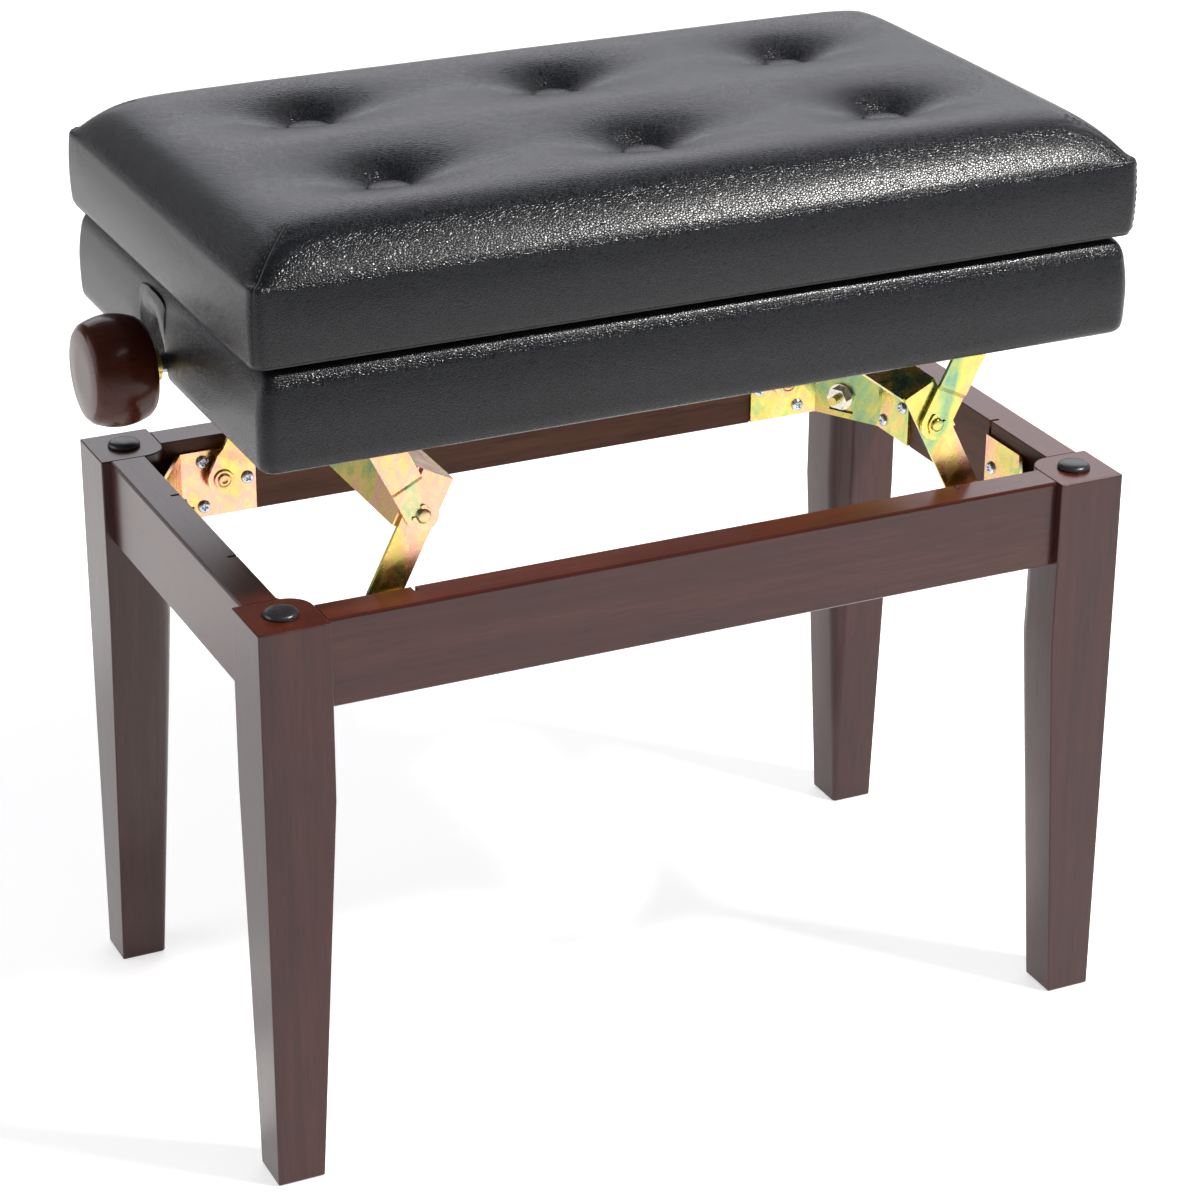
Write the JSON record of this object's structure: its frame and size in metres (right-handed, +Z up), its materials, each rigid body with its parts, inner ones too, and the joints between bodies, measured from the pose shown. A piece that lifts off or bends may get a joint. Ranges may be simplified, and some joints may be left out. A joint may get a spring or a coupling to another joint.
{
  "type": "piano bench",
  "caption": "Height-adjustable piano bench: wooden stand, steel scissor linkage driven by a side knob, and an upholstered box seat with a hinged, button-tufted lid.",
  "frame": {"origin": "on the floor under the middle of the whole object, knob and hinge included", "axes": "+X along the bench away from the knob, +Y from front to back, +Z up"},
  "size_m": [0.5976, 0.3255, 0.58],
  "materials": {
    "lacquered_wood": "satin dark walnut lacquer over straight vertical grain",
    "knob_wood": "glossy dark brown lacquer",
    "black_bumper": "black moulded plastic, slightly glossy",
    "zinc_steel": "yellow chromate zinc plating with faint pink and green bloom",
    "bright_steel": "bright zinc plating",
    "plywood": "black-stained plywood under the cover",
    "black_leather": "fine pebble grain, semi-matt charcoal black",
    "foam": "upholstery foam under the cover"
  },
  "bodies": {
    "stand": {"leg_front_left": "lacquered_wood", "leg_rear_left": "lacquered_wood", "leg_front_right": "lacquered_wood", "leg_rear_right": "lacquered_wood", "rail_front": "lacquered_wood", "rail_rear": "lacquered_wood", "rail_left": "lacquered_wood", "rail_right": "lacquered_wood", "leg_bumpers": "black_bumper", "corner_bracket_front_left": "zinc_steel", "corner_bracket_rear_left": "zinc_steel", "corner_bracket_front_right": "zinc_steel", "corner_bracket_rear_right": "zinc_steel", "bracket_screws": "bright_steel", "hanger_studs": "bright_steel", "stud_washers": "bright_steel", "stud_nuts": "bright_steel", "base_pivot_rivets": "zinc_steel"},
    "left_lower_link": {"left_lower_arm_front": "zinc_steel", "left_lower_arm_rear": "zinc_steel", "left_cross_bar": "zinc_steel", "left_nut_lugs": "zinc_steel", "left_mid_rivets": "zinc_steel"},
    "left_upper_link": {"left_upper_arm_front": "zinc_steel", "left_upper_arm_rear": "zinc_steel"},
    "left_nut_carriage": {"left_nut": "bright_steel"},
    "right_lower_link": {"right_lower_arm_front": "zinc_steel", "right_lower_arm_rear": "zinc_steel", "right_cross_bar": "zinc_steel", "right_nut_lugs": "zinc_steel", "right_mid_rivets": "zinc_steel"},
    "right_upper_link": {"right_upper_arm_front": "zinc_steel", "right_upper_arm_rear": "zinc_steel"},
    "right_nut_carriage": {"right_nut": "bright_steel"},
    "seat_box": {"box_wall_front": "plywood", "box_wall_rear": "plywood", "box_wall_left": "plywood", "box_wall_right": "plywood", "box_floor": "plywood", "box_cover": "black_leather", "seat_hanger_front_left": "zinc_steel", "seat_hanger_rear_left": "zinc_steel", "seat_hanger_front_right": "zinc_steel", "seat_hanger_rear_right": "zinc_steel", "seat_pivot_rivets": "zinc_steel", "seat_hanger_screws": "bright_steel", "screw_guide": "zinc_steel", "hinge_leaf_lower": "bright_steel", "hinge_pin": "bright_steel"},
    "screw_and_knob": {"lift_screw": "bright_steel", "knob_collar": "zinc_steel", "knob": "knob_wood"},
    "lid": {"lid_board": "plywood", "cushion_foam": "foam", "cushion_cover": "black_leather", "tufting_buttons": "black_leather", "hinge_leaf_upper": "bright_steel"}
  },
  "joints": [
    {"name": "left_lower_pivot", "type": "hinge", "parent": "stand", "child": "left_lower_link", "pos_m": [-0.17675, -0.00275, 0.3283], "axis": [0, 1, 0], "range_deg": [0, 46.3]},
    {"name": "left_upper_pivot", "type": "hinge", "parent": "left_lower_link", "child": "left_upper_link", "pos_m": [-0.14418, -0.00275, 0.39363], "axis": [0, 1, 0], "range_deg": [-95.6, 3]},
    {"name": "left_seat_pivot", "type": "hinge", "parent": "left_upper_link", "child": "seat_box", "pos_m": [-0.17675, -0.00275, 0.45896], "axis": [0, 1, 0], "range_deg": [-1.5, 47.8]},
    {"name": "left_nut_pivot", "type": "hinge", "parent": "left_lower_link", "child": "left_nut_carriage", "pos_m": [-0.1116, -0.00275, 0.45896], "axis": [0, 1, 0], "range_deg": [-47.8, 1.5]},
    {"name": "right_lower_pivot", "type": "hinge", "parent": "stand", "child": "right_lower_link", "pos_m": [0.21925, -0.00275, 0.3283], "axis": [0, 1, 0], "range_deg": [-47.8, 1.5]},
    {"name": "right_upper_pivot", "type": "hinge", "parent": "right_lower_link", "child": "right_upper_link", "pos_m": [0.18668, -0.00275, 0.39363], "axis": [0, 1, 0], "range_deg": [-3, 95.6]},
    {"name": "right_nut_pivot", "type": "hinge", "parent": "right_lower_link", "child": "right_nut_carriage", "pos_m": [0.1541, -0.00275, 0.45896], "axis": [0, 1, 0], "range_deg": [-1.5, 47.8]},
    {"name": "knob_turn", "type": "hinge", "parent": "seat_box", "child": "screw_and_knob", "pos_m": [-0.26175, -0.00275, 0.459], "axis": [1, 0, 0], "range_deg": [-180, 5736]},
    {"name": "lid_hinge", "type": "hinge", "parent": "seat_box", "child": "lid", "pos_m": [0.02125, 0.16015, 0.5065], "axis": [-1, 0, 0], "range_deg": [0, 85]}
  ],
  "couplings": [
    {"joint": "left_upper_pivot", "follows": "left_lower_pivot", "ratio": -2},
    {"joint": "left_seat_pivot", "follows": "left_lower_pivot", "ratio": 1},
    {"joint": "left_nut_pivot", "follows": "left_lower_pivot", "ratio": -1},
    {"joint": "right_lower_pivot", "follows": "left_lower_pivot", "ratio": -1},
    {"joint": "right_upper_pivot", "follows": "left_lower_pivot", "ratio": 2},
    {"joint": "right_nut_pivot", "follows": "left_lower_pivot", "ratio": 1},
    {"joint": "knob_turn", "follows": "left_lower_pivot", "ratio": 120}
  ]
}
